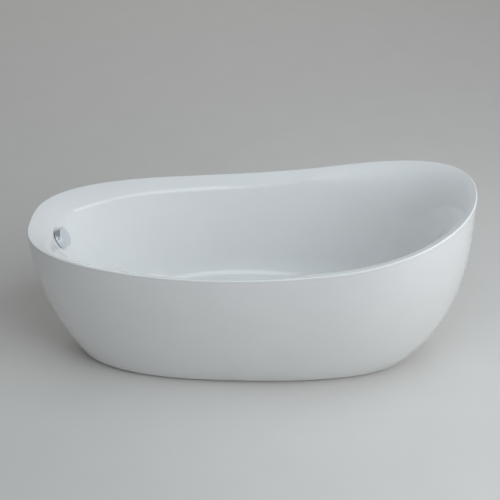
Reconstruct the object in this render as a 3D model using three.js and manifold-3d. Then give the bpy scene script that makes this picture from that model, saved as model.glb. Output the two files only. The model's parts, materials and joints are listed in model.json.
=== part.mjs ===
// A freestanding slipper bath: an acrylic basin hung in an acrylic skirt, standing on a steel cradle
// with five levelling feet, with a turn-knob overflow that opens a pop-up waste through a cable.
// Millimetres. X runs along the bath with the raised backrest at +X, Z is up, and the floor is z = 0.

import * as THREE from 'three';
import Module from 'manifold-3d';
import { mergeVertices } from 'three/addons/utils/BufferGeometryUtils.js';

const wasm = await Module();
wasm.setup();

// Driving dimensions of the shells ------------------------------------------------------------

const RIM_LOW = 568;              // rim height over the foot end and most of the sides
const RIM_RISE = 189;             // extra rim height at the backrest end
const RISE_START = -400;          // where along X the rim begins to climb
const RISE_POWER = 2.39;          // how late and how steeply it climbs
const FLOOR_TOP = 145;            // height of the inside bottom of the basin
const FLOOR_CENTRE_X = -40;
const SKIRT_BOTTOM = 5;           // shadow gap between the skirt and the floor
const BASIN_WALL = 6;
const SKIRT_WALL = 5;
const CLEARANCE = 0.3;            // gap kept between pieces that touch

// Egg-shaped outlines: two half superellipses that meet at their widest station.
const RIM = { foot: -850, head: 850, widest: 319, halfWidth: 400, footPower: 2.73, headPower: 2.21 };
const CREASE = { foot: -764, head: 728, widest: 208, halfWidth: 341, footPower: 2.4, headPower: 2.35 };
const WELL = { foot: -572, head: 516, widest: 87, halfWidth: 291, footPower: 2.1, headPower: 2.3 };
const SKIRT_BASE = { foot: -685, head: 644, widest: -126, halfWidth: 253, footPower: 2.36, headPower: 2.46 };

const CREASE_DROP = { side: 40, foot: 48, head: 105 };         // band height, rim down to crease
const SKIRT_FLARE = { side: 2.52, foot: 1.89, head: 3.03 };    // power of the skirt's outward curve
const FLOOR_FILLET = { side: 95, foot: 95, head: 200 };        // reach of the wall-to-floor curve
const BAND_START = 1.5;           // how much of the band's fall is even, rather than growing inwards
const BAND_END = { side: 0.93, foot: 0.93, head: 0.2 };        // share of the band before it rounds over
const CREASE_ROUNDING = { side: 0.02, foot: 0.02, head: 0.5 }; // share of the wall in that rounding
const CREASE_BLEND = 1.3;         // how soon those values turn from the sides' to the ends'
const RIM_RADIUS = 5;             // bullnose of the rim
const RIM_LIP = 7;                // depth of the visible rim edge above the skirt
const RETURN_FLANGE = { from: 6.5, to: 11.5, depth: 20 };      // turned-down flange inside the skirt
const SKIRT_FOOT_LIP = { width: 30, rounding: 10 };            // turned-in lip at the skirt's bottom
const SEGMENTS = 48;              // facets around the bath

// Driving dimensions of the fittings and the cradle --------------------------------------------

const DRAIN_X = -430;
const OVERFLOW_Z = 482;           // height of the overflow centre on the foot-end wall
const KNOB_RADIUS = 39;
const KNOB_GAP = 5.5;             // shadow gap between the knob and the wall
const KNOB_FRONT = 30;            // face of the knob, measured from the wall
const GRUB_SCREW_ANGLE = 65;      // degrees around the knob from its uphill side
const STOPPER_LIFT = 10;
const LEVER_ARM = 20;
const LEVER_SWING = 30;           // degrees, half below level and half above
const INLET_Z = 104;              // overflow inlet of the waste body
const CABLE_Y = 36;               // the cable runs this far to the rear of the hose
const CABLE_Z = 70;               // height of the cable where it ends at the waste body

const RAIL_Y = 105;
const RAIL_TOP = 120.3;
const TUBE = 30;                  // height of the cradle's steel tubes
const TUBE_WALL = 2;
const CROSSBARS = [
  { name: 'foot_end', x: -545, reach: 150, lip: 162, feet: [-110, 110] },
  { name: 'middle', x: -30, reach: 185, lip: 235, feet: [0] },
  { name: 'head_end', x: 440, reach: 150, lip: 173, feet: [-125, 125] },
];

// Materials --------------------------------------------------------------------------------------

const finish = (color, roughness, metalness) =>
  new THREE.MeshStandardMaterial({ color, roughness, metalness });
const ACRYLIC = finish(0xeceef0, 0.12, 0);
const CHROME = finish(0xc9ced3, 0.08, 1);
const STEEL = finish(0x9a9ea2, 0.4, 1);
const CRADLE_PAINT = finish(0x3a3d40, 0.55, 0.3);
const BOARD = finish(0xb08d5e, 0.85, 0);
const BLACK_RUBBER = finish(0x1d1d1f, 0.8, 0);
const BLACK_PLASTIC = finish(0x232427, 0.5, 0);
const GREY_PLASTIC = finish(0xb9bdc0, 0.55, 0);
const BRASS = finish(0xb5924c, 0.35, 1);

// Solid helpers ----------------------------------------------------------------------------------

// Position-only copy of a geometry with its shared corners welded and its collapsed triangles gone.
function welded(geometry) {
  const plain = geometry.clone();
  plain.deleteAttribute('normal');
  plain.deleteAttribute('uv');
  const merged = mergeVertices(plain, 1e-4);
  const kept = [];
  const index = merged.index.array;
  for (let i = 0; i < index.length; i += 3) {
    const [a, b, c] = [index[i], index[i + 1], index[i + 2]];
    if (a !== b && b !== c && c !== a) kept.push(a, b, c);
  }
  merged.setIndex(kept);
  return merged;
}

function solidOf(geometry) {
  const plain = welded(geometry);
  return new wasm.Manifold(new wasm.Mesh({
    numProp: 3,
    vertProperties: new Float32Array(plain.attributes.position.array),
    triVerts: new Uint32Array(plain.index.array),
  }));
}

function geometryOf(solid) {
  const mesh = solid.getMesh();
  const geometry = new THREE.BufferGeometry();
  geometry.setAttribute('position', new THREE.BufferAttribute(mesh.vertProperties, 3));
  geometry.setIndex(Array.from(mesh.triVerts));
  return geometry;
}

function join(base, ...extras) {
  return geometryOf(extras.reduce((solid, extra) => solid.add(solidOf(extra)), solidOf(base)));
}

function cut(base, ...tools) {
  return geometryOf(tools.reduce((solid, tool) => solid.subtract(solidOf(tool)), solidOf(base)));
}

// A turned shape about Z from [radius, z] pairs listed anticlockwise.
function turned(profile, segments = 16) {
  const points = profile.map(([radius, z]) => new THREE.Vector2(radius, z));
  return new THREE.LatheGeometry(points, segments).rotateX(Math.PI / 2);
}

function rod(radius, z0, z1, segments = 16) {
  return turned([[0, z0], [radius, z0], [radius, z1], [0, z1]], segments);
}

function ring(inner, outer, z0, z1, segments = 24) {
  return turned([[inner, z0], [outer, z0], [outer, z1], [inner, z1], [inner, z0]], segments);
}

function box(x0, x1, y0, y1, z0, z1) {
  return new THREE.BoxGeometry(x1 - x0, y1 - y0, z1 - z0)
    .translate((x0 + x1) / 2, (y0 + y1) / 2, (z0 + z1) / 2);
}

const radians = THREE.MathUtils.degToRad;

// A hose or cable jacket: a round section, hollow where a bore is given, swept along a curve.
function swept(points, radius, bore, steps, sides) {
  const section = new THREE.Shape().absarc(0, 0, radius, 0, 2 * Math.PI);
  if (bore > 0) section.holes.push(new THREE.Path().absarc(0, 0, bore, 0, 2 * Math.PI, true));
  const path = new THREE.CatmullRomCurve3(points.map((p) => new THREE.Vector3(...p)), false, 'centripetal');
  return new THREE.ExtrudeGeometry(section, {
    steps, curveSegments: sides, bevelEnabled: false, extrudePath: path,
  });
}

// Shell surfaces ---------------------------------------------------------------------------------

function egg(angle, outline, z) {
  const c = Math.cos(angle);
  const s = Math.sin(angle);
  const power = 2 / (c > 0 ? outline.headPower : outline.footPower);
  const reach = c > 0 ? outline.head - outline.widest : outline.widest - outline.foot;
  return new THREE.Vector3(
    outline.widest + reach * Math.sign(c) * Math.abs(c) ** power,
    outline.halfWidth * Math.sign(s) * Math.abs(s) ** power,
    z,
  );
}

// Blends a value that differs between the sides, the foot end and the head end.
function around(angle, values, blend = 2) {
  const c = Math.cos(angle);
  const end = c > 0 ? values.head : values.foot;
  return values.side + (end - values.side) * Math.abs(c) ** blend;
}

function rimPoint(angle) {
  const point = egg(angle, RIM, 0);
  const climb = Math.max(0, (point.x - RISE_START) / (RIM.head - RISE_START));
  point.z = RIM_LOW + RIM_RISE * climb ** RISE_POWER;
  return point;
}

function bezier(a, b, c, t) {
  return a.clone().lerp(b, t).lerp(b.clone().lerp(c, t), t);
}

function towards(from, to, distance) {
  return from.clone().add(to.clone().sub(from).setLength(distance));
}

// Level direction at right angles to a closed outline, pointing to its inside.
function inward(pointAt, angle) {
  const step = 1e-3;
  const along = pointAt(angle + step).sub(pointAt(angle - step));
  return new THREE.Vector3(-along.y, along.x, 0).normalize();
}

// Inside surface of the basin at one angle, from the rim's bullnose down to the flat floor.
function basinInside(angle) {
  const rim = rimPoint(angle);
  const bandStart = rim.clone().addScaledVector(inward(rimPoint, angle), RIM_RADIUS);
  const drop = around(angle, CREASE_DROP, CREASE_BLEND);
  const crease = egg(angle, CREASE, rim.z - drop);
  const corner = egg(angle, WELL, FLOOR_TOP);
  const centre = new THREE.Vector3(FLOOR_CENTRE_X, 0, FLOOR_TOP);
  const bandEnd = around(angle, BAND_END, CREASE_BLEND);
  const fall = drop / (BAND_START + bandEnd * (2 - bandEnd));
  const band = (share) => {
    const point = bandStart.clone().lerp(crease, share);
    point.z = rim.z - fall * share * (BAND_START + share);
    return point;
  };
  const fillet = around(angle, FLOOR_FILLET);
  const bandEdge = band(bandEnd);
  const wallTop = crease.clone().lerp(corner, around(angle, CREASE_ROUNDING, CREASE_BLEND));
  const wallFoot = towards(corner, crease, fillet);
  const floorEdge = towards(corner, centre, fillet);
  return [
    ...[0, 1 / 3, 2 / 3].map((t) => band(t * bandEnd)),
    bandEdge,
    ...[0.25, 0.5, 0.75].map((t) => bezier(bandEdge, crease, wallTop, t)),
    wallTop,
    wallTop.clone().lerp(wallFoot, 0.5),
    wallFoot,
    ...[0.2, 0.4, 0.6, 0.8].map((t) => bezier(wallFoot, corner, floorEdge, t)),
    floorEdge,
  ];
}

// The same rows on the back of the wall, one wall thickness behind the inside surface.
function basinOutside(angle) {
  const step = 1e-3;
  const here = basinInside(angle);
  const before = basinInside(angle - step);
  const after = basinInside(angle + step);
  const floor = new THREE.Vector3(FLOOR_CENTRE_X, 0, FLOOR_TOP);
  return here.map((point, row) => {
    const along = after[row].clone().sub(before[row]);
    const down = (here[row + 1] ?? floor).clone().sub(here[Math.max(0, row - 1)]);
    const outwards = down.cross(along).normalize();
    return point.clone().addScaledVector(outwards, row === here.length - 1 ? 0 : BASIN_WALL);
  });
}

// One closed cut through the basin wall: up the inside, over the rim, down its flange and the back.
function basinSection(angle) {
  const rim = rimPoint(angle);
  const inside = basinInside(angle);
  const outside = basinOutside(angle);
  const level = inward(rimPoint, angle);
  const at = (inwards, below) => {
    const point = rim.clone().addScaledVector(level, inwards);
    point.z = rim.z - below;
    return point;
  };
  const bullnose = [30, 60, 90].map(radians).map((turn) =>
    at(RIM_RADIUS * (1 - Math.sin(turn)), RIM_RADIUS * (1 - Math.cos(turn))));
  const { from, to, depth } = RETURN_FLANGE;
  const floorUnder = outside[outside.length - 1].clone().setZ(FLOOR_TOP - BASIN_WALL);
  return [
    new THREE.Vector3(FLOOR_CENTRE_X, 0, FLOOR_TOP),
    ...inside.reverse(),
    ...bullnose,
    at(0, RIM_LIP), at(from, RIM_LIP), at(from, depth), at(to, depth), at(to, BASIN_WALL + 0.5),
    ...outside.slice(1, -1),
    floorUnder,
    new THREE.Vector3(FLOOR_CENTRE_X, 0, FLOOR_TOP - BASIN_WALL),
  ];
}

// Outer surface of the skirt at one angle and height: narrow at the floor, curving out to the rim.
function skirtPoint(angle, z) {
  const rim = rimPoint(angle);
  const base = egg(angle, SKIRT_BASE, z);
  const rise = Math.min(1, Math.max(0, (z - SKIRT_BOTTOM) / (rim.z - SKIRT_BOTTOM)));
  const spread = 1 - (1 - rise) ** around(angle, SKIRT_FLARE);
  return base.lerp(new THREE.Vector3(rim.x, rim.y, z), spread);
}

// One closed cut through the skirt: down the outside, in along the foot lip and up the inside.
function skirtSection(angle) {
  const top = rimPoint(angle).z - RIM_LIP - CLEARANCE;
  const { width, rounding } = SKIRT_FOOT_LIP;
  const [rows, spacing] = [7, 0.8];
  const inset = (z, distance) => {
    const level = inward((turn) => skirtPoint(turn, z), angle);
    return skirtPoint(angle, z).addScaledVector(level, distance);
  };
  const outside = [];
  const inside = [];
  for (let row = 0; row < rows; row += 1) {
    const z = top + (SKIRT_BOTTOM + rounding - top) * (row / (rows - 1)) ** spacing;
    outside.push(inset(z, 0));
    inside.unshift(inset(z, SKIRT_WALL));
  }
  const corner = inset(SKIRT_BOTTOM, 0);
  const lipStart = inset(SKIRT_BOTTOM, rounding);
  return [
    ...outside,
    bezier(outside[rows - 1], corner, lipStart, 0.5),
    lipStart,
    inset(SKIRT_BOTTOM, width),
    inset(SKIRT_BOTTOM, width).setZ(SKIRT_BOTTOM + SKIRT_WALL),
    inset(SKIRT_BOTTOM, rounding + 2).setZ(SKIRT_BOTTOM + SKIRT_WALL),
    ...inside,
  ];
}

// Skins the sections round the bath. An open section starts and ends on one shared middle point.
function skin(sectionAt, closed) {
  const positions = [];
  const index = [];
  const sections = [];
  for (let i = 0; i < SEGMENTS; i += 1) sections.push(sectionAt((2 * Math.PI * i) / SEGMENTS));
  const rows = sections[0].length;
  sections.flat().forEach((point) => positions.push(point.x, point.y, point.z));
  for (let i = 0; i < SEGMENTS; i += 1) {
    const next = (i + 1) % SEGMENTS;
    for (let row = 0; row < (closed ? rows : rows - 1); row += 1) {
      const below = (row + 1) % rows;
      const corners = [i * rows + row, i * rows + below, next * rows + below, next * rows + row];
      index.push(corners[0], corners[1], corners[2], corners[0], corners[2], corners[3]);
    }
  }
  const geometry = new THREE.BufferGeometry();
  geometry.setAttribute('position', new THREE.BufferAttribute(new Float32Array(positions), 3));
  geometry.setIndex(index);
  return welded(geometry);
}

// Places of the overflow ---------------------------------------------------------------------------

// The foot-end wall runs straight from crease to well, so the overflow sits square on that line.
const wallTop = egg(Math.PI, CREASE, RIM_LOW - CREASE_DROP.foot);
const wallFoot = egg(Math.PI, WELL, FLOOR_TOP);
const overflowShare = (wallTop.z - OVERFLOW_Z) / (wallTop.z - wallFoot.z);
const overflowCentre = wallTop.clone().lerp(wallFoot, overflowShare).setY(0);
const uphill = wallTop.clone().sub(wallFoot).setY(0).normalize();
const facing = new THREE.Vector3(uphill.z, 0, -uphill.x);
const sideways = new THREE.Vector3().crossVectors(facing, uphill);
const overflowFrame = new THREE.Matrix4().makeBasis(uphill, sideways, facing).setPosition(overflowCentre);

// Moves a shape from the overflow's own axes (X uphill, Z out of the wall) into place.
const onOverflow = (geometry) => geometry.applyMatrix4(overflowFrame);
const overflowAt = (depth) => overflowCentre.clone().addScaledVector(facing, depth);

const WALL_SEAT = -0.6;           // depth of the flat seat cut into the wall for the inner gasket
const PAD_BACK = -9;              // flat back of the thickened pad behind the wall
const WALL_BORE = 24;
const DRAIN_PAD = 9;              // floor thickness around the drain
const RECESS_DEPTH = 3;           // recess in the floor that the drain's flange lies in
const SPIGOT_X = overflowAt(-30).x;
const NIPPLE = { x: overflowAt(-42).x, y: 18, top: 455, bottom: 424 };
const SCREW_REACH = 19;           // overflow screws, from the overflow's axis
const SPIGOT_RADIUS = 10;         // ends that the overflow hose is pushed onto
const SPIGOT_BORE = 8;
const SPINDLE_RADIUS = 4;
const SPINDLE_BORE = SPINDLE_RADIUS + CLEARANCE;
const SHAFT_RADIUS = 2.5;         // lever shaft
const SMALL_BORE = 2.8;           // bores for the shaft, the grub screw and the cable
const SCREW_BORE = 2.7;

// Builders of the pieces ---------------------------------------------------------------------------

// Shell with thickened pads behind the overflow and the drain, a gasket seat and a flange recess.
function basin() {
  const [padRadius, drainPadRadius, gasketSeat, recess, drainBore] = [38, 46, 33.5, 38, 26];
  const [padFrom, padTo, past] = [FLOOR_TOP - DRAIN_PAD, FLOOR_TOP - RECESS_DEPTH, 30];
  const drainPad = rod(drainPadRadius, padFrom, padTo, 24).translate(DRAIN_X, 0, 0);
  return cut(
    join(skin(basinSection, false), onOverflow(rod(padRadius, PAD_BACK, -3, 24)), drainPad),
    onOverflow(rod(gasketSeat, WALL_SEAT, past, 24)),
    onOverflow(rod(WALL_BORE, -past, past, 24)),
    rod(recess, padTo, FLOOR_TOP + past, 24).translate(DRAIN_X, 0, 0),
    rod(drainBore, FLOOR_TOP - past, FLOOR_TOP + past, 24).translate(DRAIN_X, 0, 0),
  );
}

function floorBoard() {
  const outline = new THREE.Shape();
  const [x, y, r] = [300, 125, 30];
  outline.absarc(x - r, y - r, r, 0, Math.PI / 2);
  outline.absarc(-x + r, y - r, r, Math.PI / 2, Math.PI);
  outline.absarc(-x + r, -y + r, r, Math.PI, 1.5 * Math.PI);
  outline.absarc(x - r, -y + r, r, 1.5 * Math.PI, 2 * Math.PI);
  const bottom = RAIL_TOP + CLEARANCE;
  const depth = FLOOR_TOP - BASIN_WALL - CLEARANCE - bottom;
  return new THREE.ExtrudeGeometry(outline, { depth, curveSegments: 5, bevelEnabled: false })
    .translate(0, 0, bottom);
}

function rail(y) {
  const [x0, x1, half] = [-560, 480, TUBE / 2];
  const [z0, z1, w] = [RAIL_TOP - TUBE, RAIL_TOP, TUBE_WALL];
  return cut(
    box(x0, x1, y - half, y + half, z0, z1),
    box(x0 - 1, x1 + 1, y - half + w, y + half - w, z0 + w, z1 - w),
  );
}

const CROSSBAR_TOP = RAIL_TOP - TUBE - CLEARANCE;
const CROSSBAR_BOTTOM = CROSSBAR_TOP - TUBE;
const STUD_RADIUS = 6;
const STUD_BORE = STUD_RADIUS + CLEARANCE;

// Square-ended tube across the bath with a threaded boss inside it over each foot.
function crossbar({ x, reach, feet }) {
  const [z0, z1, w, half] = [CROSSBAR_BOTTOM, CROSSBAR_TOP, TUBE_WALL, 20];
  const [bossRadius, bossFrom, bossTo] = [11, z0 + 1, z0 + 16];
  const tube = cut(
    box(x - half, x + half, -reach, reach, z0, z1),
    box(x - half + w, x + half - w, -reach - 1, reach + 1, z0 + w, z1 - w),
  );
  const bosses = feet.map((y) => rod(bossRadius, bossFrom, bossTo).translate(x, y, 0));
  const bores = feet.map((y) => rod(STUD_BORE, z0 - 5, bossTo + 4, 12).translate(x, y, 0));
  return cut(join(tube, ...bosses), ...bores);
}

// Angle bracket from a crossbar's end down to the skirt's foot lip.
function skirtBracket({ x, reach, lip }, side) {
  const [half, thick] = [18, 3];
  const bottom = SKIRT_BOTTOM + SKIRT_WALL + CLEARANCE;
  const start = reach + CLEARANCE;
  const upright = box(x - half, x + half, start, start + thick, bottom, CROSSBAR_TOP - 4);
  const foot = box(x - half, x + half, start, lip, bottom, bottom + thick);
  const bracket = join(upright, foot);
  return side > 0 ? bracket : bracket.rotateZ(Math.PI).translate(2 * x, 0, 0);
}

const PAD_TOP = 14;
const NUT_HEIGHT = 10;

function footPad() {
  return turned([[0, 0], [24, 0], [25, 2], [25, 5], [12, 9], [12, PAD_TOP], [0, PAD_TOP]]);
}

// Threaded stud with the hexagon that turns it.
function footStud() {
  const bottom = PAD_TOP + CLEARANCE;
  const hexagon = rod(10, bottom + 2, bottom + 10, 6);
  return join(rod(STUD_RADIUS, bottom, CROSSBAR_TOP - 3.5, 12), hexagon);
}

function footLocknut() {
  const top = CROSSBAR_BOTTOM - CLEARANCE;
  return cut(rod(11, top - NUT_HEIGHT, top, 6), rod(STUD_BORE, 0, CROSSBAR_TOP, 12));
}

// Overflow pieces, each in the overflow's own axes until onOverflow places it.

function overflowGasketInner() {
  return onOverflow(ring(25, 32, WALL_SEAT + CLEARANCE, 1.7));
}

// Face plate with four overflow ports, two screw holes and a bearing hub for the spindle.
function overflowFaceplate() {
  const [back, front, portRadius, portReach] = [2, 5, 5.5, 16];
  const plate = join(rod(31.5, back, front, 24), rod(8, -8, front));
  const through = (radius) => rod(radius, 0, front + 4, 12);
  const ports = [45, 135, 225, 315].map(radians).map((turn) =>
    through(portRadius).translate(portReach * Math.cos(turn), portReach * Math.sin(turn), 0));
  const holes = [-1, 1].map((side) => through(SCREW_BORE).translate(0, side * SCREW_REACH, 0));
  return onOverflow(cut(plate, ...ports, ...holes, rod(SPINDLE_BORE, -20, 20)));
}

function overflowScrew(side) {
  const head = rod(4.5, 5.3, 7.8, 12);
  const screw = join(head, rod(2.4, -26, 6, 8));
  return onOverflow(screw.translate(0, side * SCREW_REACH, 0));
}

const SPINDLE_END = 25.7;

// Turns a shape's axis onto the grub screw's, square to the spindle.
const onGrubScrew = (shape) => shape.rotateY(Math.PI / 2)
  .rotateZ(radians(GRUB_SCREW_ANGLE)).translate(0, 0, 18);

// Hollow drum knob with a hub inside, a bore for the spindle and a radial hole for the grub screw.
function overflowKnob() {
  const wall = 2.5;
  const inner = KNOB_RADIUS - wall;
  const back = KNOB_FRONT - wall;
  const shell = turned([
    [inner, KNOB_GAP], [KNOB_RADIUS, KNOB_GAP], [KNOB_RADIUS, KNOB_FRONT - 1],
    [KNOB_RADIUS - 1, KNOB_FRONT], [0, KNOB_FRONT], [0, back], [inner, back], [inner, KNOB_GAP],
  ], 32);
  const hub = rod(9, 12, back + 1);
  const driver = onGrubScrew(rod(SMALL_BORE, 0, KNOB_RADIUS + 5, 12));
  return onOverflow(cut(join(shell, hub), rod(SPINDLE_BORE, 0, SPINDLE_END + CLEARANCE), driver));
}

function knobGrubScrew() {
  return onOverflow(onGrubScrew(rod(2.5, 4.6, 9.5, 12)));
}

function knobSpindle() {
  return onOverflow(rod(SPINDLE_RADIUS, -48, SPINDLE_END));
}

// Small spool on the spindle's inner end that winds the cable in.
function cableSpool() {
  const [rim, groove] = [10, 6];
  return onOverflow(turned([
    [SPINDLE_BORE, -47], [rim, -47], [rim, -45], [groove, -44], [groove, -41], [rim, -40], [rim, -38],
    [SPINDLE_BORE, -38], [SPINDLE_BORE, -47],
  ]));
}

function overflowGasketOuter() {
  return onOverflow(ring(25, 34, -11.8, PAD_BACK - CLEARANCE));
}

// Cup behind the wall with its flange, two screw bosses, a hose spigot and a cable nipple.
function overflowBody() {
  const [outer, inner, flange, back, floor] = [25, 22.5, 35, -52, -49.5];
  const [seat, flangeBack] = [-12.1, -16];
  const cup = turned([
    [0, back], [outer, back], [outer, flangeBack], [flange, flangeBack], [flange, seat], [inner, seat],
    [inner, floor], [0, floor],
  ], 24);
  const spigot = rod(SPIGOT_RADIUS, 412, 458).translate(SPIGOT_X, 0, 0);
  const nipple = rod(4.5, NIPPLE.bottom, NIPPLE.top, 12).translate(NIPPLE.x, NIPPLE.y, 0);
  const hollowed = cut(join(onOverflow(cup), spigot, nipple), onOverflow(rod(inner, floor, 0, 24)));
  const atScrews = (makeOne) => [-1, 1].map((side) =>
    onOverflow(makeOne().translate(0, side * SCREW_REACH, 0)));
  const bosses = atScrews(() => rod(4.5, -30, -14, 12));
  const bores = atScrews(() => rod(SCREW_BORE, -28, 0, 8));
  return cut(
    join(hollowed, ...bosses),
    ...bores,
    rod(SPIGOT_BORE, 400, 462).translate(SPIGOT_X, 0, 0),
    rod(SMALL_BORE, 420, 458, 8).translate(NIPPLE.x, NIPPLE.y, 0),
  );
}

const HOSE_RADIUS = 13.5;
const HOSE_BORE = 11.3;
const INLET_END = DRAIN_X - 62;

function overflowHose() {
  const route = [
    [SPIGOT_X, 0, 436], [SPIGOT_X, 0, 405], [SPIGOT_X - 3, 0, 330], [-738, 0, 205], [-665, 0, 130],
    [-590, 0, INLET_Z + 4], [INLET_END - 15, 0, INLET_Z], [INLET_END + 26, 0, INLET_Z],
  ];
  return swept(route, HOSE_RADIUS, HOSE_BORE, 18, 5);
}

function hoseClamp() {
  return join(ring(HOSE_RADIUS + CLEARANCE, 15.3, -5, 5, 20), box(14, 21, -5, 5, -4, 4));
}

// The cable's jacket, clipped beside the hose from the overflow to the lever on the waste body.
function controlCable() {
  const route = [
    [NIPPLE.x, NIPPLE.y, NIPPLE.bottom - CLEARANCE], [NIPPLE.x, NIPPLE.y + 2, 395],
    [NIPPLE.x - 2, CABLE_Y, 320], [-738, CABLE_Y, 205], [-665, CABLE_Y, 128], [-590, CABLE_Y, 104],
    [-530, CABLE_Y, 97], [-488, CABLE_Y, 80], [DRAIN_X - 34, CABLE_Y, CABLE_Z],
    [DRAIN_X - 10, CABLE_Y, CABLE_Z],
  ];
  return swept(route, 2.5, 0, 24, 4);
}

// Waste pieces, modelled about the drain's own vertical axis.

function drainGasketUpper() {
  return ring(27, 35, FLOOR_TOP - 2.7, FLOOR_TOP - 1.7);
}

// Flange with its threaded tail and the three-armed web that guides the stopper's stem.
function drainFlange() {
  const [under, top, tail] = [FLOOR_TOP - 1.4, FLOOR_TOP + 0.6, 116];
  const shell = turned([
    [21, tail], [24, tail], [24, under], [36.5, under], [36.5, top - 0.6], [35.5, top], [27, top],
    [21, FLOOR_TOP - 4], [21, tail],
  ], 24);
  const web = [0, 120, 240].map(radians).map((turn) => box(4, 22, -1.5, 1.5, tail, tail + 5).rotateZ(turn));
  return cut(join(shell, rod(7, tail, tail + 6), ...web), rod(4, tail - 5, tail + 10));
}

function drainGasketLower() {
  return ring(27, 38, FLOOR_TOP - 12.3, FLOOR_TOP - 9.3);
}

const CUP_BOTTOM = 70;
const CUP_FLOOR = 76;
const NECK_BOTTOM = 52;
const LEVER_PIVOT = { x: LEVER_ARM, z: 88 };

// Cup under the drain with its flange, outlet neck, overflow inlet and lever bearing.
function drainBody() {
  const flangeTop = FLOOR_TOP - 12.6;
  const cup = turned([
    [17.3, NECK_BOTTOM], [20, NECK_BOTTOM], [20, CUP_BOTTOM], [28, CUP_BOTTOM], [30, CUP_BOTTOM + 2],
    [30, flangeTop - 4], [40, flangeTop - 4], [40, flangeTop], [24.6, flangeTop], [24.6, CUP_FLOOR],
    [17.3, CUP_FLOOR], [17.3, NECK_BOTTOM],
  ], 24);
  const alongX = (shape) => shape.rotateY(-Math.PI / 2).translate(0, 0, INLET_Z);
  const inlet = alongX(rod(SPIGOT_RADIUS, 27, 62));
  const inletBore = alongX(rod(SPIGOT_BORE, 20, 70));
  const cableStop = box(-16, -8, 26, 40, CABLE_Z - 5, CABLE_Z + 5);
  const cableHole = rod(SMALL_BORE, -30, 0, 8).rotateY(Math.PI / 2).translate(0, CABLE_Y, CABLE_Z);
  const bearing = rod(SMALL_BORE, -40, 40, 8).rotateX(Math.PI / 2).translate(LEVER_PIVOT.x, 0, LEVER_PIVOT.z);
  return cut(join(cup, inlet, cableStop), inletBore, cableHole, bearing);
}

const STOPPER_BASE = FLOOR_TOP - 7;

// Low dome with the plug under it that carries the seal and the stem's socket.
function stopper() {
  const rest = FLOOR_TOP + 0.9;
  return turned([
    [3.8, STOPPER_BASE], [19, STOPPER_BASE], [19, rest], [30, rest], [31, rest + 1], [30, rest + 2.4],
    [20, rest + 4], [0, rest + 4.8], [0, STOPPER_BASE + 5], [3.8, STOPPER_BASE + 5], [3.8, STOPPER_BASE],
  ], 28);
}

function stopperSeal() {
  return ring(19.3, 24.3, FLOOR_TOP - 1, FLOOR_TOP + 0.6);
}

const STEM_BOTTOM = 86.2;

function stopperStem() {
  return rod(3.5, STEM_BOTTOM, STOPPER_BASE + 4.7, 12);
}

function stopperLocknut() {
  return cut(rod(7, STOPPER_BASE - 4.5, STOPPER_BASE - CLEARANCE, 6), rod(3.8, 100, 150, 12));
}

// Arm inside the cup that lifts the stem, drawn level and tipped to its resting angle.
function liftLever() {
  const hub = rod(4, -5, 5, 12).rotateX(Math.PI / 2);
  const tip = rod(3, -4, 4, 12).rotateX(Math.PI / 2).translate(-LEVER_ARM, 0, 0);
  const arm = box(-LEVER_ARM, 0, -3, 3, -2.5, 2.5);
  const bore = rod(SMALL_BORE, -9, 9, 8).rotateX(Math.PI / 2);
  return cut(join(hub, tip, arm), bore)
    .rotateY(radians(-LEVER_SWING / 2)).translate(LEVER_PIVOT.x, 0, LEVER_PIVOT.z);
}

function leverShaft() {
  return rod(SHAFT_RADIUS, -40, 24, 8).rotateX(Math.PI / 2).translate(LEVER_PIVOT.x, 0, LEVER_PIVOT.z);
}

// Grooved pulley on the shaft's outer end that the cable turns, with its weight even about the shaft.
function cablePulley() {
  const [halfWidth, radius, rim, hub, web] = [3, 18, 14, 5, 1.5];
  const [near, far] = [CABLE_Y - halfWidth, CABLE_Y + halfWidth];
  const wheel = turned([
    [SMALL_BORE, near - 1], [hub, near - 1], [hub, near + web], [rim, near + web], [rim, near],
    [radius, near], [radius - 2, CABLE_Y], [radius, far], [rim, far], [rim, far - web], [hub, far - web],
    [hub, far + 1], [SMALL_BORE, far + 1], [SMALL_BORE, near - 1],
  ], 24);
  return wheel.rotateX(-Math.PI / 2).translate(LEVER_PIVOT.x, 0, LEVER_PIVOT.z);
}

// Dip tube from the waste body down into the trap's water.
function drainTailpiece() {
  return ring(14.5, 17, 20, CUP_FLOOR - 1);
}

const TRAP = { bottom: 8, top: 44, radius: 44, outletZ: 29, outletEnd: 95 };

// Shallow trap bowl with its neck on top and its outlet towards the middle of the bath.
function trapBowl() {
  const neckTop = NECK_BOTTOM - CLEARANCE;
  const { bottom, top, radius, outletZ, outletEnd } = TRAP;
  const wall = 3;
  const bowl = turned([
    [0, bottom], [radius - 6, bottom], [radius, bottom + 6], [radius, top], [20, top], [20, neckTop],
    [17.3, neckTop], [17.3, top - wall], [radius - wall, top - wall], [radius - wall, bottom + 7],
    [radius - 7, bottom + wall], [0, bottom + wall],
  ], 24);
  const alongX = (shape) => shape.rotateY(Math.PI / 2).translate(0, 0, outletZ);
  const outlet = alongX(rod(15, radius - 4, outletEnd));
  return cut(join(bowl, outlet), alongX(rod(12, radius - 10, outletEnd + 5)));
}

function trapNut() {
  const ribs = [0, 60, 120, 180, 240, 300].map(radians).map((turn) =>
    box(25, 29, -3, 3, 46, 60).rotateZ(turn));
  return join(ring(20.4, 27, 46, 60), ...ribs);
}

// Assembly -----------------------------------------------------------------------------------------

const bath = new THREE.Group();

function add(name, geometry, material, parent = bath) {
  const mesh = new THREE.Mesh(geometry, material);
  mesh.name = name;
  parent.add(mesh);
  return mesh;
}

add('basin', basin(), ACRYLIC);
add('skirt', skin(skirtSection, true), ACRYLIC);
add('floor_board', floorBoard(), BOARD);
add('frame_rail_front', rail(-RAIL_Y), CRADLE_PAINT);
add('frame_rail_rear', rail(RAIL_Y), CRADLE_PAINT);

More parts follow.
